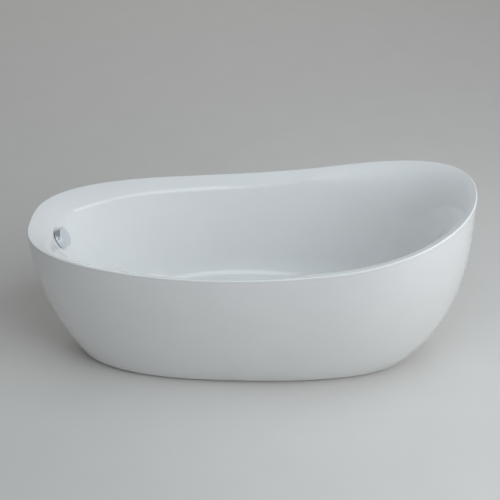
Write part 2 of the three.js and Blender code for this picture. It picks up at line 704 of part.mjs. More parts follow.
let footNumber = 0;
CROSSBARS.forEach((bar) => {
  add(`crossbar_${bar.name}`, crossbar(bar), CRADLE_PAINT);
  add(`skirt_bracket_${bar.name}_front`, skirtBracket(bar, -1), STEEL);
  add(`skirt_bracket_${bar.name}_rear`, skirtBracket(bar, 1), STEEL);
  bar.feet.forEach((y) => {
    footNumber += 1;
    const foot = new THREE.Group();
    foot.position.set(bar.x, y, 0);
    bath.add(foot);
    add(`foot_pad_${footNumber}`, footPad(), BLACK_RUBBER, foot);
    add(`foot_stud_${footNumber}`, footStud(), STEEL, foot);
    add(`foot_locknut_${footNumber}`, footLocknut(), STEEL, foot);
  });
});

add('overflow_knob', overflowKnob(), CHROME);
add('knob_grub_screw', knobGrubScrew(), STEEL);
add('knob_spindle', knobSpindle(), BRASS);
add('cable_spool', cableSpool(), BLACK_PLASTIC);
add('overflow_faceplate', overflowFaceplate(), CHROME);
add('overflow_gasket_inner', overflowGasketInner(), BLACK_RUBBER);
add('overflow_gasket_outer', overflowGasketOuter(), BLACK_RUBBER);
add('overflow_screw_front', overflowScrew(1), STEEL);
add('overflow_screw_rear', overflowScrew(-1), STEEL);
add('overflow_body', overflowBody(), BLACK_PLASTIC);
add('overflow_hose', overflowHose(), GREY_PLASTIC);
add('control_cable', controlCable(), BLACK_PLASTIC);
add('hose_clamp_upper', hoseClamp(), STEEL).position.set(SPIGOT_X, 0, 425);
const lowerClamp = add('hose_clamp_lower', hoseClamp(), STEEL);
lowerClamp.rotation.y = Math.PI / 2;
lowerClamp.position.set(INLET_END + 12, 0, INLET_Z);

const drain = new THREE.Group();
drain.position.set(DRAIN_X, 0, 0);
bath.add(drain);
add('drain_flange', drainFlange(), CHROME, drain);
add('drain_gasket_upper', drainGasketUpper(), BLACK_RUBBER, drain);
add('drain_gasket_lower', drainGasketLower(), BLACK_RUBBER, drain);
add('drain_body', drainBody(), BLACK_PLASTIC, drain);
add('stopper', stopper(), CHROME, drain);
add('stopper_seal', stopperSeal(), BLACK_RUBBER, drain);
add('stopper_stem', stopperStem(), BRASS, drain);
add('stopper_locknut', stopperLocknut(), BRASS, drain);
add('lift_lever', liftLever(), GREY_PLASTIC, drain);
add('lever_shaft', leverShaft(), BRASS, drain);
add('cable_pulley', cablePulley(), STEEL, drain);
add('drain_tailpiece', drainTailpiece(), GREY_PLASTIC, drain);
add('trap_bowl', trapBowl(), BLACK_PLASTIC, drain);
add('trap_nut', trapNut(), GREY_PLASTIC, drain);

export default bath;
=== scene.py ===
"""Looks for a freestanding slipper bath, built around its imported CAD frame.

Shapes are written in millimetres in the row frame and become meshes in metres.
"""

import json
import math

import bmesh
import bpy
import numpy as np
from mathutils import Matrix, Vector


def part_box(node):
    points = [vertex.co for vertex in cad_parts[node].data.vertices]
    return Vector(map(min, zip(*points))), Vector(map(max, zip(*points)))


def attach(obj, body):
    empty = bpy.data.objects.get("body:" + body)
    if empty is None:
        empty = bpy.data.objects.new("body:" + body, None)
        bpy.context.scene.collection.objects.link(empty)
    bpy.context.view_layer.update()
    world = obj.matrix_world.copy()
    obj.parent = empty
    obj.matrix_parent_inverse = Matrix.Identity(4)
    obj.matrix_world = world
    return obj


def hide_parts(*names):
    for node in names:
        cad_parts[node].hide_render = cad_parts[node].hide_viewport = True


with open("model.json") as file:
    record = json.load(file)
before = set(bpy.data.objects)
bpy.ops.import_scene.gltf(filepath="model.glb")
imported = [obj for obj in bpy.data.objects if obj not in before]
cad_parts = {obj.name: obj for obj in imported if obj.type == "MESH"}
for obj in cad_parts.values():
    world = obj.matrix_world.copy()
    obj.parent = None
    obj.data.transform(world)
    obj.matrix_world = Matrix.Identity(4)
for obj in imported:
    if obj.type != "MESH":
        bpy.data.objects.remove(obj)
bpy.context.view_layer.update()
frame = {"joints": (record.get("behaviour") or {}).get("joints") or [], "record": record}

MM = 0.001
BODY_OF = {
    node: body
    for body, nodes in frame["record"]["behaviour"]["bodies"].items()
    for node in nodes
}

# Driving dimensions of the shells, as in the CAD source ---------------

RIM_LOW = 568                    # rim height over the foot end and most of the sides
RIM_RISE = 189                   # extra rim height at the backrest end
RISE_START = -400                # where along X the rim begins to climb
RISE_POWER = 2.39                # how late and how steeply it climbs
FLOOR_TOP = 145                  # height of the inside bottom of the basin
FLOOR_CENTRE = np.array([-40.0, 0.0, FLOOR_TOP])
SKIRT_BOTTOM = 5                 # shadow gap between the skirt and the floor
BASIN_WALL = 6
SKIRT_WALL = 5
CLEARANCE = 0.3                  # gap kept between pieces that touch

# Egg-shaped outlines: stations along X, half width across Y, roundness of each end
RIM = {"foot": -850, "head": 850, "widest": 319, "half": 400, "foot_power": 2.73, "head_power": 2.21}
CREASE = {"foot": -764, "head": 728, "widest": 208, "half": 341, "foot_power": 2.4, "head_power": 2.35}
WELL = {"foot": -572, "head": 516, "widest": 87, "half": 291, "foot_power": 2.1, "head_power": 2.3}
SKIRT_BASE = {
    "foot": -685, "head": 644, "widest": -126, "half": 253, "foot_power": 2.36, "head_power": 2.46,
}

CREASE_DROP = {"side": 40, "foot": 48, "head": 105}          # band height, rim down to crease
SKIRT_FLARE = {"side": 2.52, "foot": 1.89, "head": 3.03}     # power of the skirt's outward curve
FLOOR_FILLET = {"side": 95, "foot": 95, "head": 200}         # reach of the wall-to-floor curve
BAND_START = 1.5                 # how much of the band's fall is even, rather than growing inwards
BAND_END = {"side": 0.93, "foot": 0.93, "head": 0.2}         # share of the band before it rounds over
CREASE_ROUNDING = {"side": 0.02, "foot": 0.02, "head": 0.5}  # share of the wall in that rounding
CREASE_BLEND = 1.3               # how soon those values turn from the sides' to the ends'
RIM_RADIUS = 5                   # bullnose of the rim
RIM_LIP = 7                      # depth of the visible rim edge above the skirt
RETURN_FLANGE = {"from": 6.5, "to": 11.5, "depth": 20}       # turned-down flange inside the skirt
SKIRT_FOOT_LIP = {"width": 30, "rounding": 10}               # turned-in lip at the skirt's bottom
AROUND = 288                     # facets around the bath, a multiple of the CAD shell's 48

# Driving dimensions of the fittings -----------------------------------

DRAIN_X = -430
WALL_BORE = 24                   # hole in the wall for the overflow
WALL_SEAT = -0.6                 # depth of the flat seat cut into the wall for the inner gasket
WALL_PAD = {"radius": 38, "back": -9}                        # flat pad behind the wall
DRAIN_PAD = {"radius": 46, "thick": 9}                       # flat pad under the floor
RECESS_DEPTH = 3                 # recess in the floor that the drain's flange lies in

KNOB_RADIUS = 39
KNOB_GAP = 5.5                   # shadow gap between the knob and the wall
KNOB_FRONT = 30                  # face of the knob, measured from the wall
GRUB_SCREW_ANGLE = 65            # degrees around the knob from its uphill side
GRUB_SCREW_Z = 18                # height of the grub screw above the wall
SPINDLE_RADIUS = 4
SPINDLE_BORE = SPINDLE_RADIUS + CLEARANCE
SPINDLE_BACK = -48
SPINDLE_END = 25.7
FACEPLATE_RADIUS = 31.5
PORT_RADIUS = 5.5                # overflow ports in the face plate
PORT_REACH = 16                  # their distance from the overflow's axis
SCREW_REACH = 19                 # overflow screws, from the overflow's axis
SCREW_BORE = 2.7

SPIGOT_RADIUS = 10               # ends that the overflow hose is pushed onto
SPIGOT_BORE = 8
HOSE_RADIUS = 13.5
HOSE_BORE = 11.3
CLAMP_RADIUS = 15.3
NIPPLE_Y = 18                    # cable nipple under the overflow body
NIPPLE_BOTTOM = 424
CABLE_RADIUS = 2.5
CABLE_Y = 36                     # the cable runs this far to the rear of the hose
CABLE_Z = 70                     # height of the cable where it ends at the waste body

INLET_Z = 104                    # overflow inlet of the waste body
INLET_END = DRAIN_X - 62
FLANGE_UNDER = 143.6             # underside of the drain flange
BODY_TOP = 132.4                 # top of the waste body's own flange
NECK_BORE = 17.3
NECK_BOTTOM = 52                 # height of the waste body's lower end
PLUG_BOTTOM = 138                # lower end of the stopper's plug
SOCKET_TOP = 143                 # top of the socket for the stem in the plug
STEM_RADIUS = 3.5
STEM_BOTTOM = 86.2
STEM_BORE = STEM_RADIUS + CLEARANCE
LEVER_ARM = 20
LEVER_Z = 88
LEVER_REST = -15                 # degrees from level
SHAFT_RADIUS = 2.5               # lever shaft
SMALL_BORE = 2.8                 # bores for the shaft, the grub screw and the cable
OUTLET_Z = 29                    # height of the trap's outlet

TUBE_WALL = 2                    # cradle's steel tubes
CROSSBARS = {                    # station along the bath, and where each foot stands across it
    "foot_end": (-545, (-110, 110)),
    "middle": (-30, (0,)),
    "head_end": (440, (-125, 125)),
}
PAD_TOP = 14                     # foot pad
STUD_RADIUS = 6
STUD_BORE = STUD_RADIUS + CLEARANCE
NUT_TOP = 59.7                   # locknut, just under its crossbar
NUT_HEIGHT = 10

# Mesh helpers ---------------------------------------------------------


def mesh_object(vertices, faces):
    """A new mesh object, scaled to metres, with its faces turned outwards."""
    mesh = bpy.data.meshes.new("piece")
    mesh.from_pydata((np.asarray(vertices) * MM).tolist(), [], faces)
    shell = bmesh.new()
    shell.from_mesh(mesh)
    bmesh.ops.recalc_face_normals(shell, faces=shell.faces)
    shell.to_mesh(mesh)
    shell.free()
    obj = bpy.data.objects.new("piece", mesh)
    bpy.context.scene.collection.objects.link(obj)
    return obj


def skin(sections, poles=None):
    """Skins sections[around][row]. Rows close into a ring, or end in the two poles if given."""
    around, rows = sections.shape[:2]
    vertices = sections.reshape(-1, 3)
    faces = []
    for here in range(around):
        beside = (here + 1) % around
        for row in range(rows if poles is None else rows - 1):
            below = (row + 1) % rows
            faces.append((
                here * rows + row, here * rows + below, beside * rows + below, beside * rows + row,
            ))
    if poles is not None:
        first = len(vertices)
        vertices = np.vstack([vertices, poles])
        for here in range(around):
            beside = (here + 1) % around
            faces.append((first, here * rows, beside * rows))
            faces.append((first + 1, beside * rows + rows - 1, here * rows + rows - 1))
    return mesh_object(vertices, faces)


def unit(vector):
    """The vector, or each of a stack of vectors, at length 1."""
    return vector / np.linalg.norm(vector, axis=-1, keepdims=True)


def bezier(start, control, end, t):
    """Point at share t of a quadratic curve."""
    return (1 - t) ** 2 * start + 2 * t * (1 - t) * control + t * t * end


def eased(profile, easing, closed, steps=4):
    """The profile with each corner replaced by a small curve, kept to under half of each side."""
    points = np.array(profile, float)
    count = len(points)
    outline = []
    for i, corner in enumerate(points):
        if not closed and i in (0, count - 1):
            outline.append(corner)
            continue
        before, after = points[i - 1], points[(i + 1) % count]
        reach = min(easing, 0.45 * math.dist(before, corner), 0.45 * math.dist(corner, after))
        start = corner + unit(before - corner) * reach
        end = corner + unit(after - corner) * reach
        outline.extend(bezier(start, corner, end, t) for t in np.linspace(0, 1, steps + 1))
    return np.array(outline)


def turned(profile, segments=96, easing=0.5):
    """A turned solid about Z. A profile that starts and ends on the axis is open, any other a ring."""
    solid = profile[0][0] == 0 and profile[-1][0] == 0
    outline = eased(profile, easing, closed=not solid)
    angles = np.linspace(0, 2 * math.pi, segments, endpoint=False)
    radii, heights = outline[:, 0], outline[:, 1]
    sections = np.stack([
        np.outer(np.cos(angles), radii),
        np.outer(np.sin(angles), radii),
        np.tile(heights, (segments, 1)),
    ], axis=-1)
    if not solid:
        return skin(sections)
    poles = [[0, 0, heights[0]], [0, 0, heights[-1]]]
    return skin(sections[:, 1:-1], poles)


def rod(radius, bottom, top, segments=64, easing=0.4):
    """A round bar along Z."""
    return turned([[0, bottom], [radius, bottom], [radius, top], [0, top]], segments, easing)


def ring(inner, outer, bottom, top, segments=96, easing=0.4):
    """A washer about Z."""
    return turned([[inner, bottom], [outer, bottom], [outer, top], [inner, top]], segments, easing)


def block(low, high, easing=0.8):
    """A box from corner to corner with rounded edges."""
    x, y, z = zip(low, high)
    corners = [(a, b, c) for a in x for b in y for c in z]
    faces = [(0, 1, 3, 2), (4, 6, 7, 5), (0, 4, 5, 1), (2, 3, 7, 6), (0, 2, 6, 4), (1, 5, 7, 3)]
    return bevelled(mesh_object(corners, faces), easing)


def bevelled(obj, width, steps=3):
    """The same object with its sharp edges rounded."""
    shell = bmesh.new()
    shell.from_mesh(obj.data)
    sharp = [edge for edge in shell.edges if edge.calc_face_angle(0) > math.radians(30)]
    bmesh.ops.bevel(shell, geom=sharp, offset=width * MM, segments=steps, profile=0.5, affect="EDGES")
    shell.to_mesh(obj.data)
    shell.free()
    return obj


def prism(outline, bottom, top, easing=0.6):
    """A level outline drawn up from bottom to top, with rounded edges."""
    count = len(outline)
    vertices = [(x, y, z) for z in (bottom, top) for x, y in outline]
    sides = [(i, (i + 1) % count, count + (i + 1) % count, count + i) for i in range(count)]
    ends = [tuple(range(count)), tuple(range(2 * count - 1, count - 1, -1))]
    return bevelled(mesh_object(vertices, sides + ends), easing)


def rounded_rectangle(width, height, radius, steps=8):
    """Corner points of a rectangle about the middle, with rounded corners."""
    points = []
    for quarter, (sx, sy) in enumerate([(1, 1), (-1, 1), (-1, -1), (1, -1)]):
        for t in np.linspace(0, math.pi / 2, steps):
            turn = quarter * math.pi / 2 + t
            points.append((
                sx * (width / 2 - radius) + radius * math.cos(turn),
                sy * (height / 2 - radius) + radius * math.sin(turn),
            ))
    return np.array(points)


def hexagon(radius):
    """Corner points of a hexagon about the middle."""
    return [(radius * math.cos(a), radius * math.sin(a)) for a in np.arange(6) * math.pi / 3]


def smooth_route(points, steps):
    """Points a step apart along a centripetal Catmull-Rom curve, as the CAD source sweeps it."""
    p = np.array(points, float)
    p = np.vstack([2 * p[0] - p[1], p, 2 * p[-1] - p[-2]])
    fine = []
    for a, b, c, d in zip(p, p[1:], p[2:], p[3:]):
        t0, t1, t2 = (math.sqrt(math.dist(*pair)) for pair in ((a, b), (b, c), (c, d)))
        leave = ((b - a) / t0 - (c - a) / (t0 + t1) + (c - b) / t1) * t1
        arrive = ((c - b) / t1 - (d - b) / (t1 + t2) + (d - c) / t2) * t1
        for t in np.linspace(0, 1, 200, endpoint=False):
            fine.append(
                b + leave * t
                + (-3 * b + 3 * c - 2 * leave - arrive) * t ** 2
                + (2 * b - 2 * c + leave + arrive) * t ** 3
            )
    fine = np.array(fine + [p[-2]])
    length = np.concatenate([[0], np.cumsum(np.linalg.norm(np.diff(fine, axis=0), axis=1))])
    stations = np.linspace(0, length[-1], steps + 1)
    return np.stack([np.interp(stations, length, fine[:, i]) for i in range(3)], axis=-1), stations


def swept(points, radius_at, bore=0.0, steps=200, sides=32):
    """A tube along a route. radius_at gives its radius at each station; a bore makes it hollow."""
    route, stations = smooth_route(points, steps)
    along = unit(np.gradient(route, axis=0))
    side = unit(np.cross(along[0], [0.3, 1.0, 0.2]))
    sides_out = []
    for direction in along:
        side = unit(side - direction * np.dot(side, direction))
        sides_out.append(side)
    across = np.array(sides_out)
    up = np.cross(along, across)
    radii = np.array([radius_at(s, stations[-1]) for s in stations])
    sections = []
    for angle in np.linspace(0, 2 * math.pi, sides, endpoint=False):
        spoke = math.cos(angle) * across + math.sin(angle) * up
        outside = route + spoke * radii[:, None]
        sections.append(np.vstack([outside, (route + spoke * bore)[::-1]]) if bore else outside)
    return skin(np.array(sections), None if bore else [route[0], route[-1]])


def combined(base, operation, others):
    """Applies exact booleans to base and removes the other objects."""
    for other in others:
        modifier = base.modifiers.new(operation, "BOOLEAN")
        modifier.operation = operation
        modifier.object = other
        modifier.solver = "EXACT"
    graph = bpy.context.evaluated_depsgraph_get()
    mesh = bpy.data.meshes.new_from_object(base.evaluated_get(graph))
    base.modifiers.clear()
    base.data = mesh
    for other in others:
        bpy.data.objects.remove(other)
    return base


def join(base, *others):
    return combined(base, "UNION", others)


def cut(base, *tools):
    return combined(base, "DIFFERENCE", tools)


def moved(obj, x=0.0, y=0.0, z=0.0, turn=0.0, about="Z"):
    """The object turned about one of its axes, in degrees, and then moved, in millimetres."""
    obj.data.transform(Matrix.Rotation(math.radians(turn), 4, about))
    obj.data.transform(Matrix.Translation(Vector((x, y, z)) * MM))
    return obj


# Shell surfaces: rows of points, each row at all the angles around the bath --------

STEP = 1e-3                      # angle, in radians, between the points that give a direction


def egg(angle, outline, height):
    """A level egg-shaped outline of two half superellipses that meet at its widest station."""
    c, s = np.cos(angle), np.sin(angle)
    power = 2 / np.where(c > 0, outline["head_power"], outline["foot_power"])
    reach = np.where(c > 0, outline["head"] - outline["widest"], outline["widest"] - outline["foot"])
    x = outline["widest"] + reach * np.sign(c) * np.abs(c) ** power
    y = outline["half"] * np.sign(s) * np.abs(s) ** power
    return np.stack([x, y, np.broadcast_to(np.asarray(height, float), x.shape)], axis=-1)


def around(angle, values, blend=2):
    """Blends a value that differs between the sides, the foot end and the head end."""
    c = np.cos(angle)
    end = np.where(c > 0, values["head"], values["foot"])
    return values["side"] + (end - values["side"]) * np.abs(c) ** blend


def rim_point(angle):
    """The rim's outer edge: level along the foot half, climbing to the backrest."""
    point = egg(angle, RIM, 0)
    climb = np.maximum(0, (point[:, 0] - RISE_START) / (RIM["head"] - RISE_START))
    point[:, 2] = RIM_LOW + RIM_RISE * climb ** RISE_POWER
    return point


def inward(point_at, angle):
    """Level direction at right angles to a closed outline, pointing to its inside."""
    along = point_at(angle + STEP) - point_at(angle - STEP)
    return unit(np.stack([-along[:, 1], along[:, 0], np.zeros(len(angle))], axis=-1))


def lowered(points, heights):
    """The points at other heights."""
    result = points.copy()
    result[:, 2] = heights
    return result


def basin_inside(angle):
    """Inside surface, from the rim's bullnose down to the flat floor."""
    rim = rim_point(angle)
    start = rim + inward(rim_point, angle) * RIM_RADIUS
    drop = around(angle, CREASE_DROP, CREASE_BLEND)
    crease = egg(angle, CREASE, rim[:, 2] - drop)
    corner = egg(angle, WELL, FLOOR_TOP)
    band_end = around(angle, BAND_END, CREASE_BLEND)
    fall = drop / (BAND_START + band_end * (2 - band_end))

    def band(share):
        points = start + (crease - start) * np.reshape(share, (-1, 1))
        return lowered(points, rim[:, 2] - fall * share * (BAND_START + share))

    fillet = around(angle, FLOOR_FILLET)[:, None]
    wall_top = crease + (corner - crease) * around(angle, CREASE_ROUNDING, CREASE_BLEND)[:, None]
    wall_foot = corner + unit(crease - corner) * fillet
    floor_edge = corner + unit(FLOOR_CENTRE - corner) * fillet
    rows = [band(t * band_end) for t in np.linspace(0, 1, 16)]
    rows += [bezier(rows[-1], crease, wall_top, t) for t in np.linspace(0, 1, 15)[1:]]
    rows += [wall_top + (wall_foot - wall_top) * t for t in np.linspace(0, 1, 15)[1:]]
    rows += [bezier(wall_foot, corner, floor_edge, t) for t in np.linspace(0, 1, 25)[1:]]
    return np.array(rows)


def basin_outside(angle):
    """The same rows on the back of the wall."""
    here = basin_inside(angle)
    along = basin_inside(angle + STEP) - basin_inside(angle - STEP)
    below = np.concatenate([here[1:], np.broadcast_to(FLOOR_CENTRE, here[:1].shape)])
    above = np.concatenate([here[:1], here[:-1]])
    outwards = unit(np.cross(below - above, along))
    outwards[-1] = (0, 0, -1)
    return here + outwards * BASIN_WALL


def basin_shell():
    """Closed basin: up the inside, over the rim, down its flange and down the back."""
    angle = np.linspace(0, 2 * math.pi, AROUND, endpoint=False)
    rim = rim_point(angle)
    level = inward(rim_point, angle)

    def at(inwards, below):
        return lowered(rim + level * inwards, rim[:, 2] - below)

    inside = basin_inside(angle)
    outside = basin_outside(angle)
    floor_rows = [inside[-1] + (FLOOR_CENTRE - inside[-1]) * t for t in (0.8, 0.6, 0.4, 0.2)]
    bullnose = [
        at(RIM_RADIUS * (1 - math.sin(turn)), RIM_RADIUS * (1 - math.cos(turn)))
        for turn in np.radians(np.linspace(0, 90, 13)[1:])
    ]
    flange_from, flange_to, flange_depth = RETURN_FLANGE.values()
    rows = [
        *floor_rows, *inside[::-1], *bullnose,
        at(0, RIM_LIP - 0.5), at(0.5, RIM_LIP), at(flange_from, RIM_LIP),
        at(flange_from, flange_depth), at(flange_to, flange_depth), at(flange_to, BASIN_WALL + 0.5),
        *outside[4:],
        *[lowered(row, FLOOR_TOP - BASIN_WALL) for row in floor_rows[::-1]],
    ]
    centres = [FLOOR_CENTRE, FLOOR_CENTRE - [0, 0, BASIN_WALL]]
    return skin(np.array(rows).transpose(1, 0, 2), centres)


def skirt_point(angle, height):
    """Outer surface of the skirt: narrow at the floor, curving out to the rim."""
    rim = rim_point(angle)
    height = np.broadcast_to(np.asarray(height, float), angle.shape)
    rise = np.clip((height - SKIRT_BOTTOM) / (rim[:, 2] - SKIRT_BOTTOM), 0, 1)
    spread = (1 - (1 - rise) ** around(angle, SKIRT_FLARE))[:, None]
    base = egg(angle, SKIRT_BASE, height)
    return base + (lowered(rim, height) - base) * spread


def skirt_shell():
    """Closed skirt: down the outside, in along its rounded foot lip and up the inside."""
    angle = np.linspace(0, 2 * math.pi, AROUND, endpoint=False)
    top = rim_point(angle)[:, 2] - RIM_LIP - CLEARANCE
    width, rounding = SKIRT_FOOT_LIP.values()

    def inset(height, distance):
        return skirt_point(angle, height) + inward(lambda a: skirt_point(a, height), angle) * distance

    shares = np.linspace(0, 1, 61) ** 0.8
    heights = [top + (SKIRT_BOTTOM + rounding - top) * share for share in shares]
    outside = [inset(height, 0) for height in heights]
    corner = inset(SKIRT_BOTTOM, 0)
    lip_start = inset(SKIRT_BOTTOM, rounding)
    lip_inside = SKIRT_BOTTOM + SKIRT_WALL
    rows = [
        *outside,
        *[bezier(outside[-1], corner, lip_start, t) for t in np.linspace(0, 1, 11)[1:]],
        inset(SKIRT_BOTTOM, width),
        lowered(inset(SKIRT_BOTTOM, width), lip_inside),
        lowered(inset(SKIRT_BOTTOM, rounding + 2), lip_inside),
        *[inset(height, SKIRT_WALL) for height in heights[::-2]],
    ]
    return skin(np.array(rows).transpose(1, 0, 2))


# Overflow set: drawn in the overflow's own axes, with X uphill and Z out of the wall --------

knob_joint = next(joint for joint in frame["joints"] if joint["name"] == "knob_turn")
facing = Vector(knob_joint["axis"]).normalized()
uphill = Vector((-facing.z, 0, facing.x))
overflow_axes = Matrix((uphill, facing.cross(uphill), facing)).transposed().to_4x4()
overflow_axes.translation = Vector(knob_joint["pos_m"])
SPIGOT_X = (overflow_axes @ Vector((0, 0, -30 * MM))).x / MM
NIPPLE_X = (overflow_axes @ Vector((0, 0, -42 * MM))).x / MM


def on_overflow(obj):
    """The object, moved from the overflow's own axes into the row frame."""
    obj.data.transform(overflow_axes)
    return obj


def basin():
    """Basin with pads behind its two holes, the overflow's flat seat and the drain's recess."""
    gasket_seat, drain_bore, recess_radius, past = 33.5, 26, 38, 30
    recess_floor = FLOOR_TOP - RECESS_DEPTH
    seat = turned([
        [0, -past], [WALL_BORE, -past], [WALL_BORE, WALL_SEAT], [gasket_seat, WALL_SEAT],
        [gasket_seat, past], [0, past],
    ], 128, 0.01)
    recess = turned([
        [0, FLOOR_TOP - past], [drain_bore, FLOOR_TOP - past], [drain_bore, recess_floor],
        [recess_radius, recess_floor], [recess_radius, FLOOR_TOP + 20], [0, FLOOR_TOP + 20],
    ], 128, 0.01)
    pad = rod(WALL_PAD["radius"], WALL_PAD["back"], -3, 96)
    drain_pad = rod(DRAIN_PAD["radius"], FLOOR_TOP - DRAIN_PAD["thick"], recess_floor, 96)
    shell = join(basin_shell(), on_overflow(pad), moved(drain_pad, x=DRAIN_X))
    return cut(shell, on_overflow(seat), moved(recess, x=DRAIN_X))


def on_grub_screw(obj):
    """Turns an object's axis onto the grub screw's, square to the spindle."""
    return moved(moved(obj, turn=90, about="Y"), z=GRUB_SCREW_Z, turn=GRUB_SCREW_ANGLE)


def overflow_knob():
    """Hollow drum with a hub inside, a bore for the spindle and a radial hole for the grub screw.

    The face and the side have rings between their corners, which keep their shading even.
    """
    wall = 2.5
    inner, back = KNOB_RADIUS - wall, KNOB_FRONT - wall
    shell = turned([
        [0, KNOB_FRONT], [12, KNOB_FRONT], [24, KNOB_FRONT], [KNOB_RADIUS, KNOB_FRONT],
        [KNOB_RADIUS, 22], [KNOB_RADIUS, 12], [KNOB_RADIUS, KNOB_GAP], [inner, KNOB_GAP], [inner, back],
        [0, back],
    ], 160, 1.4)
    hub = rod(9, 12, back + 1)
    driver = on_grub_screw(rod(SMALL_BORE, 0, KNOB_RADIUS + 5, 32))
    bore = rod(SPINDLE_BORE, 0, SPINDLE_END + CLEARANCE)
    return on_overflow(cut(join(shell, hub), bore, driver))


def knob_grub_screw():
    """Headless screw with a hexagon socket."""
    screw = cut(rod(2.5, 4.6, 9.5, 32), prism(hexagon(1.3), 7, 12, 0.05))
    return on_overflow(on_grub_screw(screw))


def knob_spindle():
    return on_overflow(rod(SPINDLE_RADIUS, SPINDLE_BACK, SPINDLE_END))


def overflow_faceplate():
    """Plate behind the knob with four overflow ports, two screw holes and the spindle's bearing."""
    plate = join(rod(FACEPLATE_RADIUS, 2, 5, 128), rod(8, -8, 5))
    ports = [
        moved(rod(PORT_RADIUS, 0, 9, 48), x=PORT_REACH * math.cos(turn), y=PORT_REACH * math.sin(turn))
        for turn in np.radians([45, 135, 225, 315])
    ]
    holes = [moved(rod(SCREW_BORE, 0, 9, 32), y=side * SCREW_REACH) for side in (-1, 1)]
    return on_overflow(cut(plate, *ports, *holes, rod(SPINDLE_BORE, -20, 20)))


def overflow_screw(side):
    """Round-headed screw with a cross recess."""
    shank, head, slot_reach, slot_half_width = 2.4, 4.5, 2.4, 0.45
    screw = turned([
        [0, -26], [shank, -26], [shank, 5.3], [head, 5.3], [head, 6.6], [2.6, 7.8], [0, 7.8],
    ], 48, 0.5)
    slots = [
        block((-x, -y, 6.6), (x, y, 9), 0.1)
        for x, y in ((slot_reach, slot_half_width), (slot_half_width, slot_reach))
    ]
    return on_overflow(moved(cut(screw, *slots), y=side * SCREW_REACH))


def cable_spool():
    """Small spool on the spindle's inner end that winds the cable in."""
    rim, groove = 10, 6
    return on_overflow(turned([
        [SPINDLE_BORE, -47], [rim, -47], [rim, -45], [groove, -44], [groove, -41], [rim, -40],
        [rim, -38], [SPINDLE_BORE, -38],
    ], 64))


def overflow_body():
    """Cup behind the wall with its flange, screw bosses, hose spigot and cable nipple."""
    outer, inner, flange = 25, 22.5, 35
    back, floor, flange_back, seat = -52, -49.5, -16, -12.1
    cup = turned([
        [0, back], [outer, back], [outer, flange_back], [flange, flange_back], [flange, seat],
        [inner, seat], [inner, floor], [0, floor],
    ], 96, 0.8)
    spigot = moved(rod(SPIGOT_RADIUS, 412, 458), x=SPIGOT_X)
    nipple = moved(rod(4.5, NIPPLE_BOTTOM, 455, 48), x=NIPPLE_X, y=NIPPLE_Y)
    hollow = on_overflow(rod(inner - 0.1, floor + 0.1, seat + 0.1, 96))
    body = cut(join(on_overflow(cup), spigot, nipple), hollow)
    screw_stations = [side * SCREW_REACH for side in (-1, 1)]
    bosses = [on_overflow(moved(rod(4.5, -30, -14, 48), y=y)) for y in screw_stations]
    bores = [on_overflow(moved(rod(SCREW_BORE, -28, 0, 32), y=y)) for y in screw_stations]
    spigot_bore = moved(rod(SPIGOT_BORE, 400, 462), x=SPIGOT_X)
    nipple_bore = moved(rod(SMALL_BORE, 420, 458, 32), x=NIPPLE_X, y=NIPPLE_Y)
    return cut(join(body, *bosses), *bores, spigot_bore, nipple_bore)


# Hose, cable and their clamps -----------------------------------------


def overflow_hose():
    """Corrugated hose with a plain cuff at each end."""
    cuff, pitch, depth = 26, 5.0, 1.1
    route = [
        (SPIGOT_X, 0, 436), (SPIGOT_X, 0, 405), (SPIGOT_X - 3, 0, 330), (-738, 0, 205), (-665, 0, 130),
        (-590, 0, INLET_Z + 4), (INLET_END - 15, 0, INLET_Z), (INLET_END + 26, 0, INLET_Z),
    ]

    def radius_at(station, length):
        if min(station, length - station) < cuff:
            return HOSE_RADIUS
        return HOSE_RADIUS - depth * math.sin(math.pi * (station - cuff) / pitch) ** 2

    return swept(route, radius_at, HOSE_BORE, steps=700, sides=36)


def hose_clamp():
    """Band with a worm-screw housing on one side."""
    half_width = 5
    band = ring(HOSE_RADIUS + CLEARANCE, CLAMP_RADIUS, -half_width, half_width, 96, 0.3)
    housing = block((14, -4, -half_width), (21, 4, half_width), 1.0)
    screw = moved(rod(2.6, -6.5, 6.5, 32), x=18.3, turn=90, about="X")
    slot = block((15.5, -8, -0.5), (21, -5.8, 0.5), 0.1)
    return cut(join(band, housing, screw), slot)


def control_cable():
    """The cable's jacket, beside the hose from the overflow to the lever on the waste body."""
    route = [
        (NIPPLE_X, NIPPLE_Y, NIPPLE_BOTTOM - CLEARANCE), (NIPPLE_X, NIPPLE_Y + 2, 395),
        (NIPPLE_X - 2, CABLE_Y, 320), (-738, CABLE_Y, 205), (-665, CABLE_Y, 128), (-590, CABLE_Y, 104),
        (-530, CABLE_Y, 97), (-488, CABLE_Y, 80), (DRAIN_X - 34, CABLE_Y, CABLE_Z),
        (DRAIN_X - 10, CABLE_Y, CABLE_Z),
    ]
    return swept(route, lambda station, length: CABLE_RADIUS, steps=160, sides=20)


# Waste set: drawn about the drain's own axis --------------------------


def drain_flange():
    """Flange with its threaded tail and the three-armed web that guides the stem."""
    bore, tail, flange = 21, 24, 36.5
    bottom, top = 116, 145.6
    shell = turned([
        [bore, bottom], [tail, bottom], [tail, FLANGE_UNDER], [flange, FLANGE_UNDER], [flange, top],
        [27, top], [bore, 141],
    ], 128, 0.6)
    arms = [
        moved(block((4, -1.5, bottom), (bore + 1, 1.5, bottom + 5), 0.4), turn=turn)
        for turn in (0, 120, 240)
    ]
    return cut(join(shell, rod(7, bottom, bottom + 6), *arms), rod(4, 110, 130))


